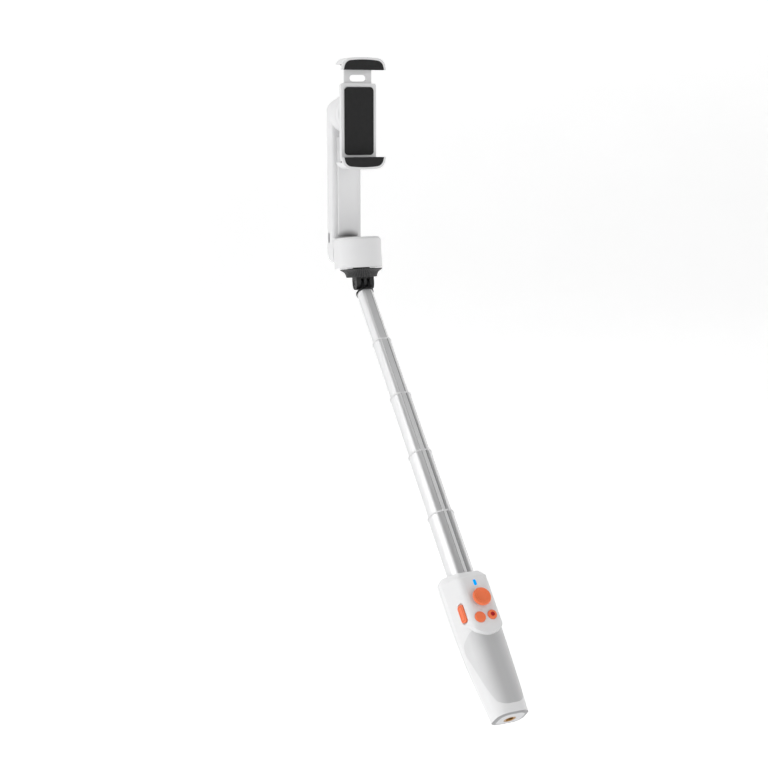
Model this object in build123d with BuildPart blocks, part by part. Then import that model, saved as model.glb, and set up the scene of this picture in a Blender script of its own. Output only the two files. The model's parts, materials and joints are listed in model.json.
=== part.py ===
from build123d import *
import math
import os

# A two-axis phone gimbal on a telescopic rod, standing in its shooting pose: the rod fully out and
# leaning forward at the handle, the head level. Millimetres. The origin is the mouth of the tripod
# thread in the handle's base, +Z is up, -Y is the screen side and +X is the screen's right.

# ---------------------------------------------------------------- driving dimensions
ROD_LEAN = 45.0  # angle between the rod and the vertical
PAN_LEAN = 7.5  # the pan motor's axis leans back by this from the arm
BASE_DROP = 2.1  # heights along the rod are counted from this far above the thread's mouth
PIN_HEIGHT = 372.0  # height of the tilt hinge's pin along the rod
PIN_FORWARD = 2.8  # the pin lies this far in front of the rod's and the pan motor's axes
STAGE = 52.8  # visible length of one rod stage
FIRST_STAGE = 50.9  # visible length of the thinnest tube
TUBE_STEP = 0.8  # radius step from one tube to the next
TUBE_WALL = 0.5
TUBE_RADIUS = 6.7  # outside radius of the thinnest tube
TUBE_TOP = 363.9  # top of the thinnest tube
TUBE_OVERLAP = 9.0  # what stays inside the next tube when the rod is out
GROOVE_DEPTH = 0.7
GROOVE_FLOOR = 2.5  # half width of the groove's floor on the thinnest tube
FIT = 0.08  # running clearance of bushes and collars
PHONE_GAP = 75.0  # opening of the phone clamp
ROLL_HEIGHT = 136.0  # roll axis above the tilt pin
DRUM_RADIUS = 17.35
ARM_HALF = 12.85
ARM_FRONT = 35.0  # front and back of the upright arm, behind the tilt pin
ARM_BACK = 50.3

os.makedirs("parts", exist_ok=True)


def leaning_frame(origin, lean):
    """A frame whose z axis leans back by lean degrees, x to the right and y to the back."""
    a = math.radians(lean)
    return Plane(origin=origin, x_dir=(1, 0, 0), z_dir=(0, math.sin(a), math.cos(a)))


rod = leaning_frame((0, 0, 0), ROD_LEAN).offset(BASE_DROP)
pin_point = rod.from_local_coords(Vector(0, -PIN_FORWARD, PIN_HEIGHT))
arm = leaning_frame(pin_point, 0)
pan = leaning_frame(pin_point, PAN_LEAN)
pan = leaning_frame(pan.from_local_coords(Vector(0, PIN_FORWARD, 0)), PAN_LEAN)


def side_plane(frame, x):
    """The frame's y-z plane at x, with its normal towards +x."""
    return Plane(origin=frame.from_local_coords(Vector(x, 0, 0)), x_dir=frame.y_dir, z_dir=frame.x_dir)


def front_plane(frame, depth):
    """The frame's x-z plane at depth in front of its axis, with its normal towards the front."""
    return Plane(origin=frame.from_local_coords(Vector(0, -depth, 0)), x_dir=frame.x_dir, z_dir=-frame.y_dir)


def save(builder, name):
    """Labels the finished piece and writes it."""
    builder.part.label = name
    export_step(builder.part, f"parts/{name}.step")


# ---------------------------------------------------------------- handle
HANDLE_TOP = 106.9  # height of the slanted top where it crosses the rod's axis
TOP_SLANT = 0.3  # the top rises by this much per millimetre towards the back
TOP_CHAMFER = 4.5
CAP_TOP = -1.3  # height where the bottom cap meets the shells
SHELL = 1.9
PAD_DEPTH = 1.5
SEAM_Y = 7.0  # the parting plane of the front and rear shells
PANEL_FRONT = 17.2
PANEL_CORNER = 5.0
CORNER_CENTRE = (7.22, -12.2)  # of the rounded edge between the panel and its side facet
JOYSTICK_Z = 80.1
MODE_AT, RECORD_AT = (-4.8, 66.6), (4.6, 67.0)  # across and up the panel
LED_Z = 92.6
MODE_R, RECORD_R, JOYSTICK_R = 3.9, 3.35, 6.6
LED_LENGTH, LED_WIDTH = 4.5, 2.3

# height, half width at the front, half width, front, back, and the front and rear corner radii
GRIP_SECTIONS = [
    (CAP_TOP, 11.8, 12.4, 13.1, 9.8, 9.0, 7.5),
    (18.0, 12.2, 13.9, 13.5, 12.2, 10.0, 8.0),
    (47.0, 12.0, 15.7, 13.2, 15.4, 9.5, 9.0),
    (71.0, 12.0, 16.4, 13.2, 16.8, 9.0, 9.0),
    (112.0, 12.0, 16.4, 13.2, 16.4, 9.0, 9.0),
]


def grip_section(height, front_half, half, front, back, front_radius, rear_radius, inset):
    """One cross-section of the grip on the rod's frame, drawn in by inset all round."""
    with BuildSketch(rod.offset(height)) as sketch:
        with BuildLine():
            Polyline(
                (-front_half + inset, -front + inset),
                (front_half - inset, -front + inset),
                (half - inset, 2.0),
                (half - inset, back - inset),
                (-half + inset, back - inset),
                (-half + inset, 2.0),
                close=True,
            )
        make_face()
        fillet(vertices().group_by(Axis.Y)[0], front_radius - inset)
        fillet(vertices().group_by(Axis.Y)[-1], rear_radius - inset)
    return sketch.sketch.face()


def grip_loft(inset, low, high):
    """The grip's outer form drawn in by inset, from height low to height high."""
    with BuildPart() as form:
        loft([grip_section(min(max(z, low), high), *shape, inset) for z, *shape in GRIP_SECTIONS])
    return form.part


def panel_prism(inset):
    """The control panel's faceted block, which stands proud of the grip down to its round end."""
    with BuildPart() as block:
        with BuildSketch(rod.offset(50)):
            with BuildLine():
                Polyline(
                    (-11 + inset, -PANEL_FRONT + inset),
                    (11 - inset, -PANEL_FRONT + inset),
                    (16.4 - inset, 2.0),
                    (16.4 - inset, 6.0),
                    (-16.4 + inset, 6.0),
                    (-16.4 + inset, 2.0),
                    close=True,
                )
            make_face()
            fillet(vertices().group_by(Axis.Y)[0], PANEL_CORNER)
        extrude(amount=62)
        with BuildSketch(front_plane(rod, 30)):
            with BuildLine():
                tongue = ThreePointArc((-10, 58.6), (0, 54.4), (10, 58.6))
                Line(tongue @ 1, (20, 76))
                Line((20, 76), (20, 40))
                Line((20, 40), (-20, 40))
                Line((-20, 40), (-20, 76))
                Line((-20, 76), tongue @ 0)
            make_face()
        extrude(amount=-60, mode=Mode.SUBTRACT)
    return block.part


def top_cutter(drop):
    """Everything above the slanted top, lowered by drop."""
    with BuildPart() as cutter:
        with BuildSketch(side_plane(rod, -25)):
            with BuildLine():
                Polyline(
                    (-30, HANDLE_TOP - drop - 30 * TOP_SLANT),
                    (30, HANDLE_TOP - drop + 30 * TOP_SLANT),
                    (30, 150),
                    (-30, 150),
                    close=True,
                )
            make_face()
        extrude(amount=50)
    return cutter.part


def pad_region():
    """The part of the grip that the soft pad covers, seen from the side."""
    with BuildPart() as region:
        with BuildSketch(side_plane(rod, -25)):
            with BuildLine():
                Polyline(
                    (-30, 66), (-15.5, 64), (-12.5, 61), (0.5, 54.5), (1.5, 47), (-10.5, 8.5), (-14, 4.0),
                    (-30, 3.4), close=True,
                )
            make_face()
            fillet(vertices().sort_by(Axis.X)[-1], 6)
            fillet(vertices().sort_by(Axis.X)[-3], 5)
        extrude(amount=50)
    return region.part


def ring(frame, outer, inner, low, high):
    """A plain tube about a frame's axis."""
    with BuildPart() as tube:
        with BuildSketch(frame.offset(low)):
            Circle(outer)
            if inner > 0:
                Circle(inner, mode=Mode.SUBTRACT)
        extrude(amount=high - low)
    return tube.part


def block(frame, x, y, z):
    """A box between pairs of limits along a frame's three axes."""
    with BuildPart() as box:
        with BuildSketch(frame.offset(z[0])):
            with Locations(((x[0] + x[1]) / 2, (y[0] + y[1]) / 2)):
                Rectangle(x[1] - x[0], y[1] - y[0])
        extrude(amount=z[1] - z[0])
    return box.part


def turned(frame, points):
    """A solid turned about a frame's axis from (radius, height) points."""
    with BuildPart() as solid:
        with BuildSketch(front_plane(frame, 0)):
            with BuildLine():
                Polyline(*points, close=True)
            make_face()
        revolve(axis=Axis(frame.origin, frame.z_dir))
    return solid.part


grip_outer = grip_loft(0.0, CAP_TOP, 112.0)
grip_under_pad = grip_loft(PAD_DEPTH, CAP_TOP, 112.0)
grip_cavity = grip_loft(SHELL + PAD_DEPTH, CAP_TOP, 97.0)
panel_outer = panel_prism(0.0)
pad_side = pad_region()
TUBE_BORE = 10.75  # the shell's bore round the fixed outer tube
LEDGE = 103.4  # the fixed tube's top, just inside the mouth of the handle

# the sides of the handle's top: outward direction and distance from the rod's axis
TOP_SIDES = [
    (-90, PANEL_FRONT), (-15.7, 15.25), (195.7, 15.25), (0, 16.4), (180, 16.4),
    (45, 19.46), (135, 19.46), (22.5, 18.4), (157.5, 18.4), (67.5, 18.4), (112.5, 18.4), (90, 16.4),
]
for turn in (-71.4, -52.85, -34.3):
    across, back = math.cos(math.radians(turn)), math.sin(math.radians(turn))
    reach = PANEL_CORNER + CORNER_CENTRE[0] * across + CORNER_CENTRE[1] * back
    TOP_SIDES += [(turn, reach), (180 - turn, reach)]


def bevel_plane(angle, distance):
    """The sloping plane that bevels the handle's top along one side."""
    across, back = math.cos(math.radians(angle)), math.sin(math.radians(angle))
    y = distance * back
    corner = Vector(distance * across, y, HANDLE_TOP + TOP_SLANT * y - TOP_CHAMFER)
    up = Vector(0, -TOP_SLANT, 1).normalized()
    tilt = rod.from_local_coords(Vector(across, back, 0) + up) - rod.origin
    return Plane(origin=rod.from_local_coords(corner), z_dir=tilt)


with BuildPart() as handle_form:
    add(grip_outer)
    add(panel_outer)
    add(top_cutter(0.0), mode=Mode.SUBTRACT)
    for angle, distance in TOP_SIDES:
        with BuildSketch(bevel_plane(angle, distance)):
            Rectangle(90, 90)
        extrude(amount=20, mode=Mode.SUBTRACT)

# the zoom slider's frame: x up the rod, z out of the left facet
SLIDER_LENGTH, SLIDER_WIDTH, SLIDER_CORNER = 12.8, 6.0, 2.3
facet_lean = math.radians(15.7)
zoom = Plane(
    origin=rod.from_local_coords(Vector(-13.21, -9.48, 73.75)),
    x_dir=rod.z_dir,
    z_dir=rod.from_local_coords(Vector(-math.cos(facet_lean), -math.sin(facet_lean), 0)) - rod.origin,
)
panel_back = front_plane(rod, PANEL_FRONT - SHELL)
BUTTONS = [(MODE_AT, MODE_R), (RECORD_AT, RECORD_R)]

with BuildPart() as handle_hollow:
    add(handle_form)
    with BuildSketch(rod.offset(LEDGE)):
        Circle(10.95)
    extrude(amount=12, mode=Mode.SUBTRACT)
    add(ring(rod, TUBE_BORE, 0, 42, LEDGE), mode=Mode.SUBTRACT)
    add(grip_cavity, mode=Mode.SUBTRACT)
    add(block(rod, (-9.2, 9.2), (-PANEL_FRONT + SHELL, -6), (60, 97)), mode=Mode.SUBTRACT)
    with BuildSketch(panel_back):
        with Locations((0, LED_Z)):
            SlotOverall(LED_LENGTH + 0.1, LED_WIDTH + 0.1, rotation=90)
        with Locations((0, JOYSTICK_Z)):
            Circle(4.9)
        for place, radius in BUTTONS:
            with Locations(place):
                Circle(radius + 0.15)
    extrude(amount=8, mode=Mode.SUBTRACT)
    with BuildSketch(zoom.offset(-1.3)):
        RectangleRounded(SLIDER_LENGTH + 2.4, SLIDER_WIDTH + 0.6, SLIDER_CORNER + 0.3)
    extrude(amount=5, mode=Mode.SUBTRACT)
    with BuildSketch(zoom.offset(-5)):
        SlotOverall(7.4, 2.8)
    extrude(amount=5, mode=Mode.SUBTRACT)

with BuildPart() as grip_skin:
    add(grip_outer)
    add(grip_under_pad, mode=Mode.SUBTRACT)
    add(pad_side, mode=Mode.INTERSECT)
    add(panel_outer, mode=Mode.SUBTRACT)

with BuildPart() as grip_pad:
    add(grip_skin)
save(grip_pad, "grip_pad")

front_half = block(rod, (-30, 30), (-40, SEAM_Y), (-5, 130))
with BuildPart() as handle_front_shell:
    add(handle_hollow)
    add(grip_skin, mode=Mode.SUBTRACT)
    add(front_half, mode=Mode.INTERSECT)
save(handle_front_shell, "handle_front_shell")

with BuildPart() as handle_rear_shell:
    add(handle_hollow)
    add(grip_skin, mode=Mode.SUBTRACT)
    add(front_half, mode=Mode.SUBTRACT)
save(handle_rear_shell, "handle_rear_shell")

# ---------------------------------------------------------------- base and internals of the handle
MOUTH = -BASE_DROP
INSERT_RADIUS, INSERT_TOP = 4.5, MOUTH + 7.5
THREAD_RADIUS, THREAD_TOP = 2.6, MOUTH + 6.2  # a 1/4 inch tapped hole, at its minor diameter
PLATE_TOP, PLATE_INSET = MOUTH + 0.6, 2.8
CAP_BEVEL = 2.0
PLUG_TOP = 3.0  # the cap's plug reaches this far into the shells


def base_outline(height, inset):
    """The grip's lowest outline at another height, drawn in by inset."""
    return grip_section(height, *GRIP_SECTIONS[0][1:], inset)


base_plate_body = extrude(base_outline(MOUTH, PLATE_INSET), amount=PLATE_TOP - MOUTH, dir=rod.z_dir)

with BuildPart() as bottom_cap:
    loft([base_outline(MOUTH, CAP_BEVEL), base_outline(CAP_TOP, 0.0)])
    extrude(base_outline(CAP_TOP, SHELL + PAD_DEPTH + 0.3), amount=PLUG_TOP - CAP_TOP, dir=rod.z_dir)
    add(ring(rod, 6.5, 0, CAP_TOP, INSERT_TOP + 0.7))
    add(ring(rod, INSERT_RADIUS, 0, MOUTH, INSERT_TOP), mode=Mode.SUBTRACT)
    add(base_plate_body, mode=Mode.SUBTRACT)
save(bottom_cap, "bottom_cap")

with BuildPart() as base_plate:
    add(base_plate_body)
    add(ring(rod, INSERT_RADIUS, 0, MOUTH, PLATE_TOP), mode=Mode.SUBTRACT)
save(base_plate, "base_plate")

with BuildPart() as thread_insert:
    add(ring(rod, INSERT_RADIUS, THREAD_RADIUS, MOUTH, INSERT_TOP))
    add(ring(rod, INSERT_RADIUS, 0, THREAD_TOP, INSERT_TOP))
save(thread_insert, "thread_insert")

with BuildPart() as battery_cell:
    with BuildSketch(rod.offset(9)):
        with Locations((0, -1)):
            Circle(7)
    extrude(amount=32)
    fillet(edges().filter_by(GeomType.CIRCLE), 0.8)
save(battery_cell, "battery_cell")

BOARD = (10.8, 11.5)  # depths of the main board's faces in front of the rod's axis
PIVOT_DEPTH = 13.4  # the joystick's two hinge axes cross here
with BuildPart() as main_board:
    with BuildSketch(front_plane(rod, BOARD[0])):
        with Locations((0, 78.5)):
            RectangleRounded(17, 35, 1)
    extrude(amount=BOARD[1] - BOARD[0])
save(main_board, "main_board")

with BuildPart() as button_switches:
    for place, radius in BUTTONS:
        with BuildSketch(front_plane(rod, BOARD[1])):
            with Locations(place):
                RectangleRounded(5, 5, 0.5)
        extrude(amount=1.4)
        with BuildSketch(front_plane(rod, BOARD[1] + 1.4)):
            with Locations(place):
                Circle(1.3)
        extrude(amount=0.6)
save(button_switches, "button_switches")

with BuildPart() as led_window:
    with BuildSketch(front_plane(rod, PANEL_FRONT - 2.5)):
        with Locations((0, LED_Z)):
            SlotOverall(LED_LENGTH, LED_WIDTH, rotation=90)
    extrude(amount=2.6)
    with BuildSketch(front_plane(rod, BOARD[1])):
        with Locations((0, LED_Z)):
            RectangleRounded(5, 6.6, 0.6)
    extrude(amount=PANEL_FRONT - 2.5 - BOARD[1] + 0.6)
save(led_window, "led_window")

# ---------------------------------------------------------------- joystick
CAP_LOW, CAP_HIGH = 19.2, 21.7
PIVOT_PIN = 0.5
stick = Plane(
    origin=rod.from_local_coords(Vector(0, -PIVOT_DEPTH, JOYSTICK_Z)), x_dir=rod.x_dir, z_dir=-rod.y_dir
)
across_pins = Plane(origin=stick.origin, x_dir=stick.y_dir, z_dir=stick.x_dir)
along_pins = Plane(origin=stick.origin, x_dir=stick.x_dir, z_dir=stick.y_dir)


def pin_pair(plane, start, end, radius):
    """Two pins on one line, from start to end on either side of the plane's origin."""
    return [ring(plane, radius, 0, start, end), ring(plane, radius, 0, -end, -start)]


with BuildPart() as joystick_base:
    with BuildSketch(stick.offset(BOARD[1] - PIVOT_DEPTH)):
        RectangleRounded(13.6, 13.6, 1)
        Circle(5.7, mode=Mode.SUBTRACT)
    extrude(amount=PANEL_FRONT - SHELL - 0.1 - BOARD[1])
    for pin in pin_pair(across_pins, 5, 6.3, PIVOT_PIN + 0.06):
        add(pin, mode=Mode.SUBTRACT)
save(joystick_base, "joystick_base")

with BuildPart() as joystick_ring:
    add(ring(stick, 5.2, 4.1, -0.75, 0.75))
    for pin in pin_pair(across_pins, 4.9, 6.2, PIVOT_PIN):
        add(pin)
    for pin in pin_pair(along_pins, 3.9, 5.3, PIVOT_PIN + 0.06):
        add(pin, mode=Mode.SUBTRACT)
save(joystick_ring, "joystick_ring")

DISH_RADIUS = 17.3  # of the hollow that the thumb sits in
with BuildPart() as joystick_cap:
    stem_top = CAP_LOW - PIVOT_DEPTH
    rim = CAP_HIGH - PIVOT_DEPTH
    stem_and_disc = [
        (0, -0.8), (2.6, -0.8), (2.6, 1.2), (2.0, 1.8), (2.0, stem_top), (5.6, stem_top),
        (JOYSTICK_R, stem_top + 0.6), (JOYSTICK_R, rim - 0.6), (JOYSTICK_R - 0.6, rim), (0, rim),
    ]
    add(turned(stick, stem_and_disc))
    with Locations(stick.offset(rim - 0.8 + DISH_RADIUS)):
        Sphere(DISH_RADIUS, mode=Mode.SUBTRACT)
    for pin in pin_pair(along_pins, 2.4, 5.0, PIVOT_PIN):
        add(pin)
save(joystick_cap, "joystick_cap")

# ---------------------------------------------------------------- buttons and zoom slider
BUTTON_BACK, BUTTON_TOP = 14.2, 18.5
DOT_RADIUS, DOT_DEPTH = 1.5, 0.4


def button(place, radius):
    """A round button with a domed top and a flange that keeps it behind the panel."""
    centre = Plane(
        origin=rod.from_local_coords(Vector(place[0], 0, place[1])), x_dir=rod.x_dir, z_dir=-rod.y_dir
    )
    return turned(
        centre,
        [
            (0, BUTTON_BACK), (radius + 0.4, BUTTON_BACK), (radius + 0.4, BUTTON_BACK + 0.7),
            (radius, BUTTON_BACK + 0.7), (radius, BUTTON_TOP - 0.5), (radius - 0.5, BUTTON_TOP),
            (0, BUTTON_TOP),
        ],
    )


with BuildPart() as mode_button:
    add(button(MODE_AT, MODE_R))
save(mode_button, "mode_button")

dot_plane = front_plane(rod, BUTTON_TOP - DOT_DEPTH)
with BuildPart() as record_button:
    add(button(RECORD_AT, RECORD_R))
    with BuildSketch(dot_plane):
        with Locations(RECORD_AT):
            Circle(DOT_RADIUS)
    extrude(amount=2, mode=Mode.SUBTRACT)
save(record_button, "record_button")

with BuildPart() as record_dot:
    with BuildSketch(dot_plane):
        with Locations(RECORD_AT):
            Circle(DOT_RADIUS)
    extrude(amount=DOT_DEPTH + 0.15)
save(record_dot, "record_dot")

with BuildPart() as zoom_slider:
    with BuildSketch(zoom.offset(-1.1)):
        RectangleRounded(SLIDER_LENGTH, SLIDER_WIDTH, SLIDER_CORNER)
    extrude(amount=2.0)
    fillet(faces().sort_by(Axis(zoom.origin, zoom.z_dir))[-1].edges(), 0.5)
    with BuildSketch(zoom.offset(-3.4)):
        SlotOverall(5, 2.2)
    extrude(amount=2.5)
save(zoom_slider, "zoom_slider")

# ---------------------------------------------------------------- telescopic rod
FLOOR_SLOPE = math.tan(math.radians(22.5))  # keeps the groove walls of nested tubes parallel
BUSH_HEIGHT = 5.0
COLLAR_HEIGHT = 1.2


def rod_outline(height, radius):
    """The round section of a tube with its trapezoid groove along the front."""
    floor = GROOVE_FLOOR - FLOOR_SLOPE * (radius - TUBE_RADIUS)
    bottom = -radius + GROOVE_DEPTH
    with BuildSketch(rod.offset(height)) as outline:
        Circle(radius)
        with BuildLine():
            Polyline(
                (-floor, bottom), (floor, bottom), (floor + 2, bottom - 2), (-floor - 2, bottom - 2),
                close=True,
            )
        make_face(mode=Mode.SUBTRACT)
    return outline.sketch.face()


def grooved(outer, inner, low, high):
    """A grooved tube between two heights; inner radius 0 leaves it solid."""
    with BuildPart() as tube:
        extrude(rod_outline(low, outer), amount=high - low, dir=rod.z_dir)
        if inner > 0:
            extrude(rod_outline(low, inner), amount=high - low, dir=rod.z_dir, mode=Mode.SUBTRACT)
    return tube.part


stage_radii = [TUBE_RADIUS + TUBE_STEP * k for k in range(5)] + [TUBE_BORE - 0.05]
stage_tops = [TUBE_TOP] + [TUBE_TOP - FIRST_STAGE - STAGE * k for k in range(4)] + [LEDGE]

OUTER_TUBE_LOW = 42.6
with BuildPart() as rod_outer_tube:
    add(ring(rod, stage_radii[5], 0, OUTER_TUBE_LOW, LEDGE))
    add(grooved(stage_radii[5] - TUBE_WALL, 0, OUTER_TUBE_LOW - 1, LEDGE + 1), mode=Mode.SUBTRACT)
save(rod_outer_tube, "rod_outer_tube")

for k in range(5):
    radius, top = stage_radii[k], stage_tops[k]
    bottom = stage_tops[k + 1] - TUBE_OVERLAP
    bore = stage_radii[k + 1] - TUBE_WALL  # of the tube this one slides in
    with BuildPart() as tube:
        add(grooved(radius, radius - TUBE_WALL, bottom, top))
    save(tube, f"tube_{k + 1}")

    with BuildPart() as bush:
        add(grooved(bore - FIT, radius, bottom, bottom + BUSH_HEIGHT))
        add(grooved(bore - FIT, radius - TUBE_WALL, bottom - 1.2, bottom))
    save(bush, f"bush_{k + 1}")

    if k > 0:
        with BuildPart() as collar:
            add(grooved(radius + 0.3, stage_radii[k - 1] + FIT, top, top + COLLAR_HEIGHT))
        save(collar, f"collar_{k + 1}")

# ---------------------------------------------------------------- tilt hinge
FLANGE_RADIUS, FLANGE_HEIGHT = 7.3, 1.4
PLUG_LENGTH = 11.9
LOWER_PRONGS = [(1.45, 3.75), (-3.75, -1.45)]  # limits across the hinge
FORK_HALF = 7.6
UPPER_PRONGS = [(-FORK_HALF, -3.9), (-1.3, 1.3), (3.9, FORK_HALF)]
SCREW_RADIUS = 1.5
HEAD_RADIUS, HEAD_RECESS = 2.8, 1.4
FORK_TOP = 5.5  # underside of the fork's disc above the pin

pin_on_rod = Plane(origin=pin_point, x_dir=rod.x_dir, z_dir=rod.z_dir)
across_pin = Plane(origin=pin_point, x_dir=arm.y_dir, z_dir=arm.x_dir)


def prong(frame, x, radius, reach):
    """A hinge ear between two x limits: round at the pin, straight for reach along the frame's z."""
    plane = Plane(origin=frame.from_local_coords(Vector(x[0], 0, 0)), x_dir=frame.y_dir, z_dir=frame.x_dir)
    with BuildPart() as ear:
        with BuildSketch(plane):
            Circle(radius)
            with Locations((0, reach / 2)):
                Rectangle(2 * radius, abs(reach))
        extrude(amount=x[1] - x[0])
    return ear.part


with BuildPart() as hinge_knuckle:
    add(ring(rod, FLANGE_RADIUS, 0, TUBE_TOP, TUBE_TOP + FLANGE_HEIGHT))
    add(grooved(TUBE_RADIUS - TUBE_WALL - 0.03, 0, TUBE_TOP - PLUG_LENGTH, TUBE_TOP))
    for x in LOWER_PRONGS:
        add(prong(pin_on_rod, x, 4.3, TUBE_TOP + FLANGE_HEIGHT - PIN_HEIGHT - 0.2))
    add(ring(across_pin, SCREW_RADIUS + 0.06, 0, -9, 9), mode=Mode.SUBTRACT)
save(hinge_knuckle, "hinge_knuckle")

pan_at_pin = leaning_frame(pin_point, PAN_LEAN)
DISC_RADIUS = 11.4
HUB_RADIUS, HUB_BORE = 7.0, 5.5
RING_LOW, RING_HIGH = 5.3, 12.3
DRUM_LOW, DRUM_HIGH = 13.2, 37.9
SHAFT_RADIUS = 2.5
HUB_TOP = 31.5

with BuildPart() as pan_fork:
    add(ring(pan, DISC_RADIUS, 0, FORK_TOP, RING_HIGH + 0.3))
    for x in UPPER_PRONGS:
        add(prong(pan_at_pin, x, 5.0, FORK_TOP + 0.5))
    add(ring(pan, HUB_RADIUS, 0, RING_HIGH, HUB_TOP))
    add(ring(pan, HUB_BORE, 0, 13.5, HUB_TOP), mode=Mode.SUBTRACT)
    add(ring(across_pin, SCREW_RADIUS + 0.02, 0, -9, 9), mode=Mode.SUBTRACT)
    for recess in pin_pair(across_pin, FORK_HALF - HEAD_RECESS, 9, HEAD_RADIUS + 0.2):
        add(recess, mode=Mode.SUBTRACT)
save(pan_fork, "pan_fork")

with BuildPart() as hinge_screw:
    add(ring(across_pin, SCREW_RADIUS, 0, -6.9, 6.3))
    add(ring(across_pin, HEAD_RADIUS, 0, FORK_HALF - HEAD_RECESS, FORK_HALF - 0.1))
    with BuildSketch(across_pin.offset(6.7)):
        RegularPolygon(1.4, 6)
    extrude(amount=2, mode=Mode.SUBTRACT)
save(hinge_screw, "hinge_screw")

with BuildPart() as hinge_nut:
    with BuildSketch(across_pin.offset(0.3 - FORK_HALF)):
        RegularPolygon(HEAD_RADIUS, 6)
        Circle(SCREW_RADIUS + 0.02, mode=Mode.SUBTRACT)
    extrude(amount=HEAD_RECESS - 0.3)
save(hinge_nut, "hinge_nut")

with BuildPart() as knurled_ring:
    with BuildSketch(front_plane(pan, 0)):
        with BuildLine():
            Polyline((DISC_RADIUS + 0.05, RING_HIGH), (DISC_RADIUS + 0.05, RING_LOW), (12.7, RING_LOW))
            ThreePointArc((12.7, RING_LOW), (13.9, 9.2), (17.5, RING_HIGH - 0.5))
            Polyline((17.5, RING_HIGH - 0.5), (17.5, RING_HIGH), (DISC_RADIUS + 0.05, RING_HIGH))
        make_face()
    revolve(axis=Axis(pan.origin, pan.z_dir))
save(knurled_ring, "knurled_ring")

# ---------------------------------------------------------------- pan motor
BEARING = (5.45, 2.56)  # outside and bore radii
CAVITY_RADIUS = 14.2
MAGNETS = (14.15, 12.4)
WINDINGS = (11.8, 7.05)
MOTOR_LOW, MOTOR_HIGH = 20.6, 31.0
CAVITY_TOP = 35.9

with BuildPart() as pan_bearings:
    add(ring(pan, *BEARING, 13.6, 16.6))
    add(ring(pan, *BEARING, HUB_TOP - 3.2, HUB_TOP - 0.2))
save(pan_bearings, "pan_bearings")

with BuildPart() as pan_stator:
    add(ring(pan, *WINDINGS, MOTOR_LOW, MOTOR_HIGH))
    with BuildSketch(pan.offset(MOTOR_LOW)):
        with PolarLocations(WINDINGS[0], 12):
            RectangleRounded(3.4, 1.1, 0.4)
    extrude(amount=MOTOR_HIGH - MOTOR_LOW, mode=Mode.SUBTRACT)
save(pan_stator, "pan_stator")

with BuildPart() as pan_rotor:
    add(ring(pan, SHAFT_RADIUS, 0, 14.2, 34))
    add(ring(pan, 9.5, 0, 33.5, CAVITY_TOP))
save(pan_rotor, "pan_rotor")

with BuildPart() as pan_magnets:
    add(ring(pan, *MAGNETS, MOTOR_LOW, MOTOR_HIGH))
save(pan_magnets, "pan_magnets")


def drum_body(radius, low, high, back):
    """The drum's form: a half round front with straight sides running back to a flat rear."""
    with BuildPart() as drum:
        with BuildSketch(pan.offset(low)):
            Circle(radius)
            with Locations((0, back / 2)):
                Rectangle(2 * radius, back)
        extrude(amount=high - low)
    return drum.part


DRUM_BACK = 15.6
with BuildPart() as drum_outer:
    add(drum_body(DRUM_RADIUS, DRUM_LOW, DRUM_HIGH, DRUM_BACK))
    fillet(edges().filter_by(Axis(pan.origin, pan.x_dir)).sort_by(Axis(pan.origin, pan.z_dir))[0], 9.5)
    chamfer(faces().sort_by(Axis(pan.origin, pan.z_dir))[-1].edges(), 2.0)

with BuildPart() as pan_housing:
    add(drum_outer)
    cavity = [
        (0, DRUM_LOW), (9.5, DRUM_LOW), (9.5, 15), (CAVITY_RADIUS, MOTOR_LOW - 0.1),
        (CAVITY_RADIUS, CAVITY_TOP), (0, CAVITY_TOP),
    ]
    add(turned(pan, cavity), mode=Mode.SUBTRACT)
save(pan_housing, "pan_housing")

# ---------------------------------------------------------------- arm
ARM_TOP = ROLL_HEIGHT + ARM_HALF
HEEL_TOP = 26.0  # above this the arm is a straight rounded bar
PANEL_LOW, PANEL_HIGH = 36.0, 118.0
MOTOR_CASE = 15.5  # outside radius of the roll motor's two halves
STATOR_FRONT, ROTOR_BACK, ROTOR_FRONT = 21.0, 20.7, 13.6
PORT_HEIGHT, PORT_Y = 34.2, 45.0

roll = Plane(
    origin=arm.from_local_coords(Vector(0, 0, ROLL_HEIGHT)), x_dir=arm.x_dir, z_dir=-arm.y_dir
)

with BuildPart() as arm_side:
    with BuildSketch(side_plane(arm, -ARM_HALF)):
        with BuildLine():
            Polyline(
                (ARM_FRONT, ARM_TOP), (ARM_FRONT, 13.9), (21.3, 12.7), (21.3, 12.2), (46.6, 15.2),
                (ARM_BACK, 21.5), (ARM_BACK, ARM_TOP), close=True,
            )
        make_face()
        fillet(vertices().sort_by_distance((ARM_FRONT, 13.9))[0], 7)
        fillet(vertices().sort_by_distance((46.6, 15.2))[0], 5)
        fillet(vertices().sort_by_distance((ARM_BACK, 21.5))[0], 5)
    extrude(amount=2 * ARM_HALF)

with BuildPart() as foot:
    add(arm_side)
    add(block(arm, (-20, 20), (0, 60), (0, HEEL_TOP)), mode=Mode.INTERSECT)
    chamfer(edges().filter_by(Axis.Z).group_by(Axis.Y)[-1], 1.0)

with BuildPart() as arm_form:
    add(arm_side)
    with BuildSketch(front_plane(arm, -60)):
        with Locations((0, ROLL_HEIGHT)):
            Circle(ARM_HALF)
        with Locations((0, ROLL_HEIGHT / 2)):
            Rectangle(2 * ARM_HALF, ROLL_HEIGHT)
    extrude(amount=60, mode=Mode.INTERSECT)
    with BuildSketch(arm.offset(HEEL_TOP)):
        with Locations((0, (ARM_FRONT + ARM_BACK) / 2)):
            RectangleRounded(2 * ARM_HALF, ARM_BACK - ARM_FRONT, 2.6)
    extrude(amount=ARM_TOP, mode=Mode.INTERSECT)
    add(foot)

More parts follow.
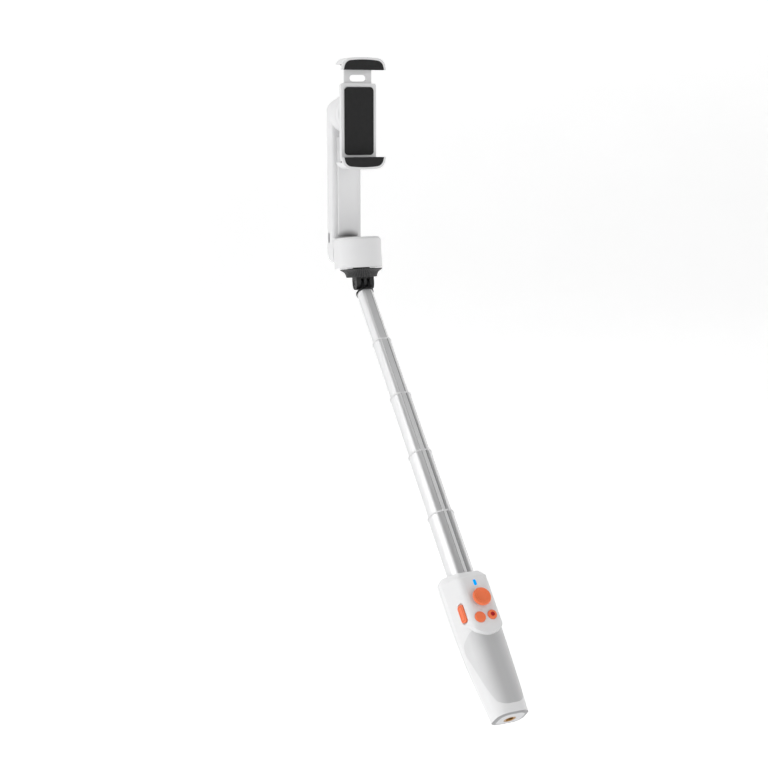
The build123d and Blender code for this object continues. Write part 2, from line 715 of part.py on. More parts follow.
neck_cut = drum_body(DRUM_RADIUS, DRUM_LOW, DRUM_HIGH, DRUM_BACK)
with BuildPart() as arm_shell:
    add(arm_form)
    add(block(arm, (-12.4, 12.4), (10, ARM_FRONT + 3), (15.5, 34.5)))
    add(neck_cut, mode=Mode.SUBTRACT)
    add(ring(pan, 19, 0, 5, DRUM_LOW), mode=Mode.SUBTRACT)
    add(block(arm, (-7.5, 7.5), (ARM_FRONT - 1, ARM_BACK - 2), (40, 114)), mode=Mode.SUBTRACT)
    with BuildSketch(side_plane(arm, -ARM_HALF)):
        with Locations((PORT_Y, PORT_HEIGHT)):
            SlotOverall(9.1, 3.4, rotation=90)
    extrude(amount=7.4, mode=Mode.SUBTRACT)
save(arm_shell, "arm_shell")

with BuildPart() as usb_c_port:
    with BuildSketch(side_plane(arm, -ARM_HALF + 0.4)):
        with Locations((PORT_Y, PORT_HEIGHT)):
            SlotOverall(9, 3.3, rotation=90)
            SlotOverall(8.4, 2.7, rotation=90, mode=Mode.SUBTRACT)
    extrude(amount=6.9)
    with BuildSketch(side_plane(arm, -ARM_HALF + 6.6)):
        with Locations((PORT_Y, PORT_HEIGHT)):
            SlotOverall(9, 3.3, rotation=90)
    extrude(amount=0.7)
    with BuildSketch(side_plane(arm, -ARM_HALF + 1.2)):
        with Locations((PORT_Y, PORT_HEIGHT)):
            Rectangle(0.7, 6.8)
    extrude(amount=5.8)
save(usb_c_port, "usb_c_port")

with BuildPart() as arm_front_panel:
    with BuildSketch(front_plane(arm, -ARM_FRONT)):
        with Locations((0, (PANEL_LOW + PANEL_HIGH) / 2)):
            RectangleRounded(17.4, PANEL_HIGH - PANEL_LOW, 1.2)
    extrude(amount=2.3)
    chamfer(faces().sort_by(Axis.Y)[0].edges(), 0.35)
save(arm_front_panel, "arm_front_panel")

with BuildPart() as arm_board:
    with BuildSketch(front_plane(arm, -41)):
        with Locations((0, 77)):
            RectangleRounded(14.6, 70, 1)
    extrude(amount=1)
    for height in (52, 66, 88, 100):
        with BuildSketch(front_plane(arm, -40)):
            with Locations((0, height)):
                RectangleRounded(7, 7, 0.5)
        extrude(amount=1.1)
save(arm_board, "arm_board")

# ---------------------------------------------------------------- roll motor
ROLL_BEARINGS = [(-STATOR_FRONT - 3.4, -STATOR_FRONT - 0.4), (-33.4, -30.4)]  # along the roll axis

with BuildPart() as roll_stator_case:
    case = [
        (MOTOR_CASE, -ARM_FRONT), (MOTOR_CASE, -STATOR_FRONT - 0.6), (MOTOR_CASE - 0.6, -STATOR_FRONT),
        (MOTOR_CASE - 1.5, -STATOR_FRONT), (MOTOR_CASE - 1.5, -33.5), (HUB_RADIUS, -33.5),
        (HUB_RADIUS, -STATOR_FRONT), (HUB_BORE, -STATOR_FRONT), (HUB_BORE, -33.6), (3.5, -33.6),
        (3.5, -ARM_FRONT),
    ]
    add(turned(roll, case))
save(roll_stator_case, "roll_stator_case")

with BuildPart() as roll_bearings:
    for low, high in ROLL_BEARINGS:
        add(ring(roll, *BEARING, low, high))
save(roll_bearings, "roll_bearings")

with BuildPart() as roll_stator:
    add(ring(roll, WINDINGS[0], HUB_RADIUS + 0.05, -32, -23))
    with BuildSketch(roll.offset(-32)):
        with PolarLocations(WINDINGS[0], 12):
            RectangleRounded(3.4, 1.1, 0.4)
    extrude(amount=9, mode=Mode.SUBTRACT)
save(roll_stator, "roll_stator")

with BuildPart() as roll_rotor:
    rotor = [
        (0, -ROTOR_FRONT), (MOTOR_CASE - 1, -ROTOR_FRONT), (MOTOR_CASE, -ROTOR_FRONT - 1),
        (MOTOR_CASE, -ROTOR_BACK), (13.2, -ROTOR_BACK), (13.2, -32.6), (12.4, -32.6), (12.4, -ROTOR_BACK),
        (SHAFT_RADIUS, -ROTOR_BACK), (SHAFT_RADIUS, -33.2), (0, -33.2),
    ]
    add(turned(roll, rotor))
save(roll_rotor, "roll_rotor")

# ---------------------------------------------------------------- phone clamp
PAD = 0.8
JAW_LOW = ROLL_HEIGHT - PHONE_GAP / 2  # the lower pad's face
JAW_HIGH = ROLL_HEIGHT + PHONE_GAP / 2
JAW_BACK = 13.3
LIP_FRONT, LIP_BACK = -3.1, -0.5
LIP_REACH = 3.5  # how far the lip comes over the phone's face
JAW_CORNER = 7.8
FRAME_FRONT = 8.3
FRAME_HALF, SLOT_HALF = 15.0, 12.0
SLOT_FRONT, SLOT_BACK = 10.0, 12.6
FRAME_TOP = 160.0


def jaw_outline(inset):
    """The jaw's front shape above the roll axis, on the arm's x-z plane, drawn in by inset."""
    low = JAW_HIGH - LIP_REACH
    shoulder = (17.4 - inset, 178.6 - inset)
    with BuildSketch(front_plane(arm, 3.4)) as outline:
        with BuildLine():
            Polyline((-shoulder[0], shoulder[1]), (-19 + inset, low), (19 - inset, low), shoulder)
            ThreePointArc(shoulder, (0, 179.9 - inset), (-shoulder[0], shoulder[1]))
        make_face()
        fillet(vertices().group_by(Axis.Y)[-1], JAW_CORNER - inset)
    return outline.sketch.face()


def jaw():
    """A jaw above the roll axis: a shelf for the phone's edge with a lip in front."""
    with BuildPart() as body:
        extrude(jaw_outline(0), amount=30, dir=arm.y_dir)
        with BuildSketch(side_plane(arm, -25)):
            with BuildLine():
                Polyline(
                    (LIP_FRONT, 185), (LIP_FRONT, JAW_HIGH - LIP_REACH), (LIP_BACK, JAW_HIGH - LIP_REACH),
                    (LIP_BACK, JAW_HIGH + PAD), (JAW_BACK, JAW_HIGH + PAD), (JAW_BACK, 185), close=True,
                )
            make_face()
        extrude(amount=50, mode=Mode.INTERSECT)
        add(jaw_pad(), mode=Mode.SUBTRACT)
    return body.part


def jaw_pad():
    """The rubber that hooks round a jaw's lip and lines its shelf."""
    with BuildPart() as body:
        extrude(jaw_outline(1.9), amount=30, dir=arm.y_dir)
        with BuildSketch(side_plane(arm, -25)):
            with BuildLine():
                Polyline(
                    (LIP_FRONT - 0.2, 185), (LIP_FRONT - 0.2, JAW_HIGH - LIP_REACH), (LIP_BACK + PAD, 170),
                    (LIP_BACK + PAD, JAW_HIGH), (7.4, JAW_HIGH), (7.4, JAW_HIGH + PAD),
                    (LIP_BACK, JAW_HIGH + PAD), (LIP_BACK, JAW_HIGH - LIP_REACH + 0.9),
                    (LIP_FRONT + 0.8, JAW_HIGH - LIP_REACH + 0.9), (LIP_FRONT + 0.8, 185), close=True,
                )
            make_face()
        extrude(amount=50, mode=Mode.INTERSECT)
    return body.part


across_roll = Plane(origin=roll.origin, x_dir=arm.x_dir, z_dir=arm.z_dir)
with BuildPart() as upper_jaw:
    add(jaw())
    add(block(arm, (-SLOT_HALF + 0.3, SLOT_HALF - 0.3), (SLOT_FRONT + 0.2, SLOT_BACK - 0.3), (128, 176)))
    with BuildSketch(front_plane(arm, -SLOT_BACK)):
        for height in (136, 150, 164):
            with Locations((0, height)):
                SlotOverall(14, 5)
    extrude(amount=4, mode=Mode.SUBTRACT)
save(upper_jaw, "upper_jaw")

with BuildPart() as upper_jaw_pad:
    add(jaw_pad())
save(upper_jaw_pad, "upper_jaw_pad")

with BuildPart() as lower_jaw:
    add(mirror(jaw(), about=across_roll, mode=Mode.PRIVATE))
save(lower_jaw, "lower_jaw")

with BuildPart() as lower_jaw_pad:
    add(mirror(jaw_pad(), about=across_roll, mode=Mode.PRIVATE))
save(lower_jaw_pad, "lower_jaw_pad")

with BuildPart() as clamp_frame:
    with BuildSketch(front_plane(arm, -JAW_BACK)):
        with Locations((0, (JAW_LOW - PAD + FRAME_TOP) / 2)):
            RectangleRounded(2 * FRAME_HALF, FRAME_TOP - JAW_LOW + PAD, 2)
    extrude(amount=JAW_BACK - FRAME_FRONT)
    add(block(arm, (-SLOT_HALF, SLOT_HALF), (SLOT_FRONT, SLOT_BACK), (100.5, 170)), mode=Mode.SUBTRACT)
save(clamp_frame, "clamp_frame")

with BuildPart() as back_pad:
    with BuildSketch(front_plane(arm, -FRAME_FRONT)):
        with Locations((0, (JAW_LOW + FRAME_TOP) / 2 + 1)):
            RectangleRounded(25, FRAME_TOP - JAW_LOW - 8, 3)
    extrude(amount=PAD)
save(back_pad, "back_pad")

spring = Plane(origin=arm.from_local_coords(Vector(0, 0, 108)), x_dir=arm.x_dir, z_dir=-arm.y_dir)
with BuildPart() as clamp_spring:
    add(ring(spring, 6.3, 3.2, -12.3, -10.3))
save(clamp_spring, "clamp_spring")
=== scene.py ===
import json
import math

import bmesh
import bpy
from mathutils import Matrix, Vector


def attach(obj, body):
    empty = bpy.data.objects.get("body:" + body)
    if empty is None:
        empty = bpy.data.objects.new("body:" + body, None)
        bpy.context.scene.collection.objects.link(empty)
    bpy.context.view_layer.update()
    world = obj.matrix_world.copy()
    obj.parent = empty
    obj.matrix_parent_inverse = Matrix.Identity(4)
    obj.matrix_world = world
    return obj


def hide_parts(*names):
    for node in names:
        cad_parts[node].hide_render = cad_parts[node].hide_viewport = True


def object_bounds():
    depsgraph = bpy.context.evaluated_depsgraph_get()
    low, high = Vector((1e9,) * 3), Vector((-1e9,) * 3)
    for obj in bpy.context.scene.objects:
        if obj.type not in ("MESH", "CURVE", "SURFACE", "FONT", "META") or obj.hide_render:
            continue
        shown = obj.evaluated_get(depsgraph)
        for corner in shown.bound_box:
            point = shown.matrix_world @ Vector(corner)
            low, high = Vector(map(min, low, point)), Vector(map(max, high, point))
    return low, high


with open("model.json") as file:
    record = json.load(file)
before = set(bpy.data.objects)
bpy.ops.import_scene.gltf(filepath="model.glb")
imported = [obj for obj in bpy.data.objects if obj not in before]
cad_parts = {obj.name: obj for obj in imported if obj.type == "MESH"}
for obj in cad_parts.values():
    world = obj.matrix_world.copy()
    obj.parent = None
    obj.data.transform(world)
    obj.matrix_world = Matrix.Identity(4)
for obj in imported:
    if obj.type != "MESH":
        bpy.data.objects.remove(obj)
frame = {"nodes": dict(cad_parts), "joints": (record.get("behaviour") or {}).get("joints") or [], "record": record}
cad_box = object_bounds()
nodes = frame["nodes"]
joints = {joint["name"]: joint for joint in frame["joints"]}

MM = 0.001
RIGHT = Vector((1, 0, 0))


# ---------------------------------------------------------------- the object's own directions
def joint_frame(name, axis=None):
    """A matrix at a joint: x to the right, z along the joint's axis (or the one given), y to the back."""
    origin = Vector(joints[name].get("pos_m", (0, 0, 0)))
    up = Vector(axis or joints[name]["axis"]).normalized()
    back = up.cross(RIGHT).normalized()
    matrix = Matrix((RIGHT, back, up)).transposed().to_4x4()
    matrix.translation = origin
    return matrix


ROD = joint_frame("rod_stage_1")  # z runs up the rod from the mouth of the tripod thread
PIN = Vector(joints["head_tilt"]["pos_m"])
PAN = joint_frame("pan_turn")
ARM = Matrix.Translation(PIN)
STICK = joint_frame("joystick_up_down", -ROD.col[1].to_3d())  # z comes out of the button panel


def at(matrix, x, y, z):
    """A point given in millimetres along a frame's axes."""
    return matrix @ Vector((x * MM, y * MM, z * MM))


# ---------------------------------------------------------------- material nodes
def tree_and_shader(material):
    """A material's node tree and its Principled shader."""
    return material.node_tree, material.node_tree.nodes["Principled BSDF"]


def new_material(name):
    """An empty node material, with its node tree and its Principled shader."""
    material = bpy.data.materials.new(name)
    material.use_nodes = True
    return material, *tree_and_shader(material)


def scaled(colour, factor):
    """A colour made darker or lighter by a factor, no channel above 1."""
    return [min(1, channel * factor) for channel in colour]


def coordinates(tree, matrix=None, scale=(1, 1, 1)):
    """Object coordinates in millimetres, turned into a frame's own axes when one is given."""
    source = tree.nodes.new("ShaderNodeTexCoord")
    vector = source.outputs["Object"]
    if matrix is not None:
        turn = tree.nodes.new("ShaderNodeMapping")
        turn.vector_type = "POINT"
        inverse = matrix.inverted()
        turn.inputs["Rotation"].default_value = inverse.to_euler()
        turn.inputs["Location"].default_value = inverse.translation
        tree.links.new(vector, turn.inputs["Vector"])
        vector = turn.outputs["Vector"]
    stretch = tree.nodes.new("ShaderNodeMapping")
    stretch.vector_type = "POINT"
    stretch.inputs["Scale"].default_value = [value / MM for value in scale]
    tree.links.new(vector, stretch.inputs["Vector"])
    return stretch.outputs["Vector"]


def axes(tree, vector):
    """The X, Y and Z of a vector, each a socket."""
    split = tree.nodes.new("ShaderNodeSeparateXYZ")
    tree.links.new(vector, split.inputs["Vector"])
    return split.outputs


def noise(tree, vector, scale, detail=2.0, roughness=0.5):
    """A noise texture's value, with scale in features per millimetre."""
    texture = tree.nodes.new("ShaderNodeTexNoise")
    texture.inputs["Scale"].default_value = scale
    texture.inputs["Detail"].default_value = detail
    texture.inputs["Roughness"].default_value = roughness
    tree.links.new(vector, texture.inputs["Vector"])
    return texture.outputs["Fac"]


def math_node(tree, operation, first, second=None):
    """One arithmetic node; second may be a number or a socket."""
    node = tree.nodes.new("ShaderNodeMath")
    node.operation = operation
    tree.links.new(first, node.inputs[0])
    if isinstance(second, (int, float)):
        node.inputs[1].default_value = second
    elif second is not None:
        tree.links.new(second, node.inputs[1])
    return node.outputs["Value"]


def ramp(tree, value, low, high, stops=(0.3, 0.7), curve="LINEAR"):
    """Maps a value between two stops to a range between two numbers."""
    mapped = tree.nodes.new("ShaderNodeMapRange")
    mapped.interpolation_type = curve
    mapped.inputs["From Min"].default_value = stops[0]
    mapped.inputs["From Max"].default_value = stops[1]
    mapped.inputs["To Min"].default_value = low
    mapped.inputs["To Max"].default_value = high
    tree.links.new(value, mapped.inputs["Value"])
    return mapped.outputs["Result"]


def colour_mix(tree, value, first, second):
    """A colour between two, chosen by a value from 0 to 1; first may be a colour or a socket."""
    mix = tree.nodes.new("ShaderNodeMix")
    mix.data_type = "RGBA"
    if isinstance(first, bpy.types.NodeSocket):
        tree.links.new(first, mix.inputs["A"])
    else:
        mix.inputs["A"].default_value = (*first, 1)
    mix.inputs["B"].default_value = (*second, 1)
    tree.links.new(value, mix.inputs["Factor"])
    return mix.outputs["Result"]


def tint(tree, shader, amount, colour):
    """Turns the shader's present colour into another where amount, from 0 to 1, says so."""
    plain = shader.inputs["Base Color"].links[0].from_socket
    tree.links.new(colour_mix(tree, amount, plain, colour), shader.inputs["Base Color"])


def bump(tree, shader, height, distance):
    """Feeds a height, in millimetres of distance, to the shader's normal."""
    node = tree.nodes.new("ShaderNodeBump")
    node.inputs["Distance"].default_value = distance * MM
    tree.links.new(height, node.inputs["Height"])
    tree.links.new(node.outputs["Normal"], shader.inputs["Normal"])


# ---------------------------------------------------------------- kinds of material
def moulded(name, colour, roughness, grain=2.5, depth=0.012, spread=0.03, specular=0.5, coat=0.0):
    """Moulded plastic or rubber: faint blotches of tone, an uneven gloss and a fine sparked grain."""
    material, tree, shader = new_material(name)
    vector = coordinates(tree)
    blotches = ramp(tree, noise(tree, vector, 0.05, 4.0, 0.6), 0, 1)
    blotched = colour_mix(tree, blotches, scaled(colour, 1 - spread), scaled(colour, 1 + spread))
    tree.links.new(blotched, shader.inputs["Base Color"])
    patches = noise(tree, vector, 0.35, 3.0, 0.6)
    tree.links.new(ramp(tree, patches, roughness - 0.05, roughness + 0.06), shader.inputs["Roughness"])
    bump(tree, shader, noise(tree, vector, grain, 2.0, 0.65), depth)
    shader.inputs["Specular IOR Level"].default_value = specular
    shader.inputs["Coat Weight"].default_value = coat
    shader.inputs["Coat Roughness"].default_value = 0.2
    return material


def worked_metal(name, colour, roughness, matrix, stretch, detail, shade, gloss, depth, metallic=1.0):
    """Metal with the fine marks of its making: noise stretched along a frame's axes."""
    material, tree, shader = new_material(name)
    shader.inputs["Metallic"].default_value = metallic
    marks = noise(tree, coordinates(tree, matrix, stretch), 1.0, detail, 0.7)
    marked = colour_mix(tree, ramp(tree, marks, 0, 1), scaled(colour, shade), colour)
    tree.links.new(marked, shader.inputs["Base Color"])
    tree.links.new(ramp(tree, marks, roughness - gloss[0], roughness + gloss[1]), shader.inputs["Roughness"])
    bump(tree, shader, marks, depth)
    return material


def drawn_metal(name, colour, roughness, matrix, streak=(9, 9, 0.06), depth=0.004, metallic=1.0):
    """Metal with fine streaks along a frame's z axis."""
    return worked_metal(
        name, colour, roughness, matrix, streak, detail=4.0, shade=0.93, gloss=(0.05, 0.07), depth=depth,
        metallic=metallic)


def turned_metal(name, colour, roughness, matrix):
    """Metal with the fine rings that a lathe leaves about a frame's z axis."""
    rings = (0.05, 0.05, 7)
    return worked_metal(
        name, colour, roughness, matrix, rings, detail=3.0, shade=0.82, gloss=(0.06, 0.1), depth=0.006)


def grooved_metal(name, colour, roughness, matrix, groove_shade):
    """Drawn metal with painted shade on its groove walls, which face its middle plane x = 0."""
    material = drawn_metal(name, colour, roughness, matrix, metallic=0.9)
    tree, shader = tree_and_shader(material)
    facing = axes(tree, tree.nodes.new("ShaderNodeTexCoord").outputs["Normal"])
    place = axes(tree, coordinates(tree, matrix))
    inward = math_node(tree, "MULTIPLY", facing["X"], place["X"])
    # painted shade: the groove walls are darkened as if shadowed
    tint(tree, shader, ramp(tree, inward, 0, 1, stops=(-0.4, -1.0)), scaled(colour, groove_shade))
    return material


def glowing(name, colour, strength):
    """A lit window: a dark lens that gives light, a little uneven."""
    material, tree, shader = new_material(name)
    shader.inputs["Roughness"].default_value = 0.25
    shader.inputs["Specular IOR Level"].default_value = 0.05
    shader.inputs["Base Color"].default_value = (*scaled(colour, 0.2), 1)
    spread = ramp(tree, noise(tree, coordinates(tree), 0.6, 2.0), 0, 1)
    uneven = colour_mix(tree, spread, scaled(colour, 0.85), colour)
    tree.links.new(uneven, shader.inputs["Emission Color"])
    shader.inputs["Emission Strength"].default_value = strength
    return material


def satin(name, colour, roughness):
    """Smooth moulded plastic, even in tone."""
    return moulded(name, colour, roughness, grain=3.0, depth=0.01, spread=0.012)


def seamed(name, colour, roughness, matrix, depth):
    """Satin plastic with the hairline where two shells meet, across a frame's y at depth millimetres."""
    material = satin(name, colour, roughness)
    tree, shader = tree_and_shader(material)
    place = axes(tree, coordinates(tree, matrix))
    offset = math_node(tree, "ABSOLUTE", math_node(tree, "SUBTRACT", place["Y"], depth))
    tint(tree, shader, ramp(tree, offset, 1, 0, stops=(0.06, 0.2)), scaled(colour, 0.55))
    return material


def shaded_panel(name, colour, roughness, foot, half_width=9.5, arch=3.4):
    """The arm's front panel: satin plastic with painted shade that deepens in an arch towards its foot."""
    material = satin(name, colour, roughness)
    tree, shader = tree_and_shader(material)
    place = axes(tree, coordinates(tree, ARM))
    across = math_node(tree, "DIVIDE", place["X"], half_width)
    sideways = math_node(tree, "MULTIPLY", math_node(tree, "MULTIPLY", across, across), arch)
    height = math_node(tree, "ADD", math_node(tree, "SUBTRACT", place["Z"], foot), sideways)
    shade = ramp(tree, height, 1, 0, stops=(-1.5, 8.5), curve="SMOOTHERSTEP")
    # painted shadow where the pan motor's drum meets the panel's foot
    tint(tree, shader, shade, scaled(colour, 0.06))
    return material


def rubber_with_painted_shade(name, edge, middle, roughness, matrix):
    """Grip rubber, darker down its middle than along its edges: painted shade down the middle, painted light along
    the edges.
    """
    material = moulded(name, edge, roughness, grain=3.2, depth=0.05, spread=0.02, specular=0.3)
    tree, shader = tree_and_shader(material)
    aside = math_node(tree, "ABSOLUTE", axes(tree, coordinates(tree, matrix))["X"])
    # painted light and shade, as on a rounder grip
    tint(tree, shader, ramp(tree, aside, 1, 0, stops=(1.5, 13.0), curve="SMOOTHSTEP"), middle)
    return material


def fluted_plastic(name, valley, crest, roughness, matrix):
    """Dark plastic, paler along the crests of a ring's flutes about a frame's z axis: painted light on the crests,
    painted shade in the valleys.
    """
    material = moulded(name, valley, roughness, grain=2.6, depth=0.01)
    tree, shader = tree_and_shader(material)
    place = axes(tree, coordinates(tree, matrix))
    angle = math_node(tree, "ARCTAN2", place["Y"], place["X"])
    wave = math_node(tree, "COSINE", math_node(tree, "MULTIPLY", angle, FLUTES))
    # painted shade in the flutes' valleys, painted light on their crests
    shade = ramp(tree, wave, 0, 1, stops=(-0.4, 0.95))
    tree.links.new(colour_mix(tree, shade, valley, crest), shader.inputs["Base Color"])
    return material


# ---------------------------------------------------------------- the object's materials
FLUTES = 60  # around the ring under the pan motor
SEAM_DEPTH = 7.0  # the parting plane of the handle's two shells, behind the rod's axis
PANEL_FOOT = 36.0  # the lower end of the arm's front panel, above the hinge pin
ARM_WHITE = (0.74, 0.74, 0.745)
HANDLE_WHITE = (0.83, 0.83, 0.835)
# painted light along the grip's edges, painted shade down its middle
GRIP_LIT_EDGE, GRIP_SHADED_MIDDLE = (0.74, 0.74, 0.745), (0.53, 0.53, 0.535)
# the flutes' painted shade in the valleys and painted light on the crests
FLUTE_VALLEY, FLUTE_CREST = (0.008, 0.008, 0.0085), (0.060, 0.060, 0.061)

white = moulded("white_plastic", ARM_WHITE, 0.4, grain=3.0, depth=0.008, spread=0.012)
handle_white = seamed("handle_white_plastic", HANDLE_WHITE, 0.42, ROD, SEAM_DEPTH)
panel_white = shaded_panel("panel_white_plastic", ARM_WHITE, 0.36, PANEL_FOOT)
grip = rubber_with_painted_shade("grip_rubber", GRIP_LIT_EDGE, GRIP_SHADED_MIDDLE, 0.7, ROD)
base_grey = moulded("base_grey_plastic", (0.60, 0.60, 0.61), 0.5, grain=2.2, depth=0.03)
cap_grey = moulded("cap_grey_plastic", (0.30, 0.30, 0.305), 0.45, grain=2.6, depth=0.03)
dark = moulded(
    "dark_plastic", (0.009, 0.009, 0.0095), 0.42, grain=2.6, depth=0.02, spread=0.08, specular=0.3)
pad = moulded("pad_rubber", (0.0095, 0.0095, 0.01), 0.6, grain=3.4, depth=0.05, spread=0.06, specular=0.3)
ring_dark = fluted_plastic("ring_dark_plastic", FLUTE_VALLEY, FLUTE_CREST, 0.36, PAN)
orange = moulded("orange_plastic", (0.97, 0.20, 0.068), 0.4, grain=3.0)
orange_deep = moulded("orange_deep_plastic", (0.80, 0.125, 0.035), 0.45, grain=3.0)
dot_red = moulded("dot_red_plastic", (0.43, 0.006, 0.015), 0.5, grain=3.0, depth=0.01, specular=0.3)
led = glowing("led_blue", (0.0, 0.38, 1.0), 1.0)
aluminium = grooved_metal("rod_aluminium", (0.74, 0.74, 0.745), 0.33, ROD, groove_shade=0.2)
shaft = turned_metal("ground_steel", (0.6, 0.6, 0.62), 0.28, ROD)
screw_black = moulded("screw_black_steel", (0.03, 0.03, 0.032), 0.35, grain=2.0, depth=0.01, spread=0.1)
# painted shade: the brass is darkened throughout, as if it lay deeper in its hole
brass = turned_metal("insert_brass", (0.42, 0.23, 0.075), 0.3, ROD)
copper = drawn_metal("coil_copper", (0.75, 0.33, 0.15), 0.35, PAN, streak=(0.3, 0.3, 5), depth=0.05)
board = moulded("board_green", (0.02, 0.14, 0.06), 0.4, grain=1.2, depth=0.01, spread=0.15)
cell = moulded("cell_wrap", (0.03, 0.09, 0.26), 0.25, grain=0.6, depth=0.01, spread=0.05, coat=0.3)
port = turned_metal("port_steel", (0.74, 0.74, 0.75), 0.5, ARM)

SLOT_MATERIALS = {
    "white_shell": white, "grip_rubber": grip, "base_grey": base_grey, "cap_plastic": cap_grey,
    "dark_plastic": dark, "pad_rubber": pad, "orange_plastic": orange, "dot_plastic": dot_red,
    "led_plastic": led, "tube_aluminium": aluminium, "screw_steel": screw_black, "shaft_steel": shaft,
    "insert_brass": brass, "coil_copper": copper, "board_green": board, "cell_wrap": cell,
    "port_steel": port,
}
NODE_MATERIALS = {
    "handle_front_shell": handle_white, "handle_rear_shell": handle_white, "arm_front_panel": panel_white,
}
for entry in frame["record"]["subparts"]:
    shown = nodes[entry["node"]]
    shown.data.materials.clear()
    shown.data.materials.append(NODE_MATERIALS.get(entry["node"], SLOT_MATERIALS[entry["material_slot"]]))


# ---------------------------------------------------------------- mesh helpers
def new_piece(name, mesh, material, body):
    """A finished piece: smooth shaded, on its body and in its material slot."""
    mesh.materials.clear()
    mesh.materials.append(material)
    mesh.shade_smooth()
    piece = bpy.data.objects.new(name, mesh)
    bpy.context.scene.collection.objects.link(piece)
    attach(piece, body)
    return piece


def closed_skin(name, matrix, loops):
    """A mesh over closed loops of points in a frame: each loop joins the next, and the last the first."""
    mesh = bpy.data.meshes.new(name)
    bm = bmesh.new()
    rows = [[bm.verts.new(at(matrix, *point)) for point in loop] for loop in loops]
    for below, above in zip(rows, rows[1:] + rows[:1]):
        for k in range(len(below)):
            m = (k + 1) % len(below)
            bm.faces.new((below[k], below[m], above[m], above[k]))
    bmesh.ops.recalc_face_normals(bm, faces=bm.faces)
    bm.to_mesh(mesh)
    bm.free()
    return mesh


def lathe(name, matrix, rings, sides):
    """A mesh turned about a frame's z axis. Each ring is (height, radius), or radius of the angle."""
    angles = [2 * math.pi * k / sides for k in range(sides)]
    loops = []
    for height, radius in rings:
        radii = [radius(angle) if callable(radius) else radius for angle in angles]
        loops.append([(r * math.cos(a), r * math.sin(a), height) for r, a in zip(radii, angles)])
    return closed_skin(name, matrix, loops)


def rounded_outline(length, width, corner, steps=8):
    """Points of a rounded rectangle, each with its outward normal."""
    points = []
    for k, (sx, sy) in enumerate(((1, 1), (-1, 1), (-1, -1), (1, -1))):
        for step in range(steps + 1):
            angle = math.radians(90 * (k + step / steps))
            normal = (math.cos(angle), math.sin(angle))
            centre = (sx * (length / 2 - corner), sy * (width / 2 - corner))
            points.append((centre[0] + corner * normal[0], centre[1] + corner * normal[1], *normal))
    return points


def banded(name, matrix, outline, section):
    """A closed band: a section of (offset outwards, height) swept along an outline in a frame."""
    loops = [[(x + nx * offset, y + ny * offset, height) for x, y, nx, ny in outline]
             for offset, height in section]
    return closed_skin(name, matrix, loops)


# ---------------------------------------------------------------- the fluted ring under the pan motor
FLUTE_PROFILE = [  # height up the pan's axis, radius, flute depth
    (12.30, 17.15, 0.0), (11.85, 17.45, 0.0), (11.45, 17.25, 0.2), (11.0, 16.55, 0.6), (10.3, 15.35, 0.75),
    (9.4, 14.15, 0.75), (8.4, 13.45, 0.7), (7.2, 13.0, 0.65), (6.1, 12.72, 0.55), (5.55, 12.62, 0.15),
    (5.32, 12.4, 0.0), (5.30, 11.6, 0.0), (12.28, 11.6, 0.0),
]
SIDES_PER_FLUTE = 10
FLUTE_SHARPNESS = 1.5  # above 1, the crests are broad and the valleys narrow


def fluted(radius, depth):
    """A radius that dips by depth in each of a ring's flutes."""
    def at_angle(angle):
        wave = 0.5 - 0.5 * math.cos(angle * FLUTES)
        return radius - depth * wave ** FLUTE_SHARPNESS
    return at_angle


flute_rings = [(height, fluted(radius, depth)) for height, radius, depth in FLUTE_PROFILE]
ring_mesh = lathe("fluted_ring", PAN, flute_rings, sides=FLUTES * SIDES_PER_FLUTE)
fluted_ring = new_piece("fluted_ring", ring_mesh, ring_dark, "head_base")
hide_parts("knurled_ring")

# ---------------------------------------------------------------- the brass insert with its real thread
THREAD_PITCH, MAJOR_RADIUS, MINOR_RADIUS = 1.27, 3.15, 2.6  # 20 turns to the inch
THREAD_FLAT = 0.1  # of the pitch, at the crest and at the root
INSERT_RADIUS, INSERT_LENGTH, BORE_LENGTH = 4.5, 7.5, 6.2
VENT_RADIUS, MOUTH_RADIUS, MOUTH_DEPTH = 0.4, 3.35, 0.35
SKIN_GAP = 0.02  # keeps the piece just inside the bush that it stands for
STEPS_PER_TURN, RUN_OUT_STEPS = 8, 3


def threaded(height, fade):
    """The radius of the thread at one height, which turns with the helix."""
    def at_angle(angle):
        phase = (height / THREAD_PITCH - angle / (2 * math.pi)) % 1.0
        flank = (abs(2 * phase - 1) - THREAD_FLAT) / (1 - 2 * THREAD_FLAT)
        cut = (MAJOR_RADIUS - MINOR_RADIUS) * min(1.0, max(0.0, flank))
        return MINOR_RADIUS + SKIN_GAP + cut * fade
    return at_angle


def insert_rings():
    """The bush, from the end of its bore round the outside to its mouth, then up the thread."""
    side = INSERT_RADIUS - SKIN_GAP
    rings = [
        (BORE_LENGTH, VENT_RADIUS), (INSERT_LENGTH, VENT_RADIUS), (INSERT_LENGTH, side),
        (MOUTH_DEPTH, side), (SKIN_GAP, INSERT_RADIUS - MOUTH_DEPTH), (SKIN_GAP, MOUTH_RADIUS),
    ]
    steps = int(BORE_LENGTH / THREAD_PITCH * STEPS_PER_TURN)
    for step in range(steps + 1):
        height = MOUTH_DEPTH + (BORE_LENGTH - 2 * MOUTH_DEPTH) * step / steps
        fade = min(1.0, step / RUN_OUT_STEPS, (steps - step) / RUN_OUT_STEPS)
        rings.append((height, threaded(height, fade)))
    return rings + [(BORE_LENGTH, MINOR_RADIUS)]


insert_mesh = lathe("threaded_insert", ROD, insert_rings(), sides=72)
threaded_insert = new_piece("threaded_insert", insert_mesh, brass, "handle")
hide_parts("thread_insert")

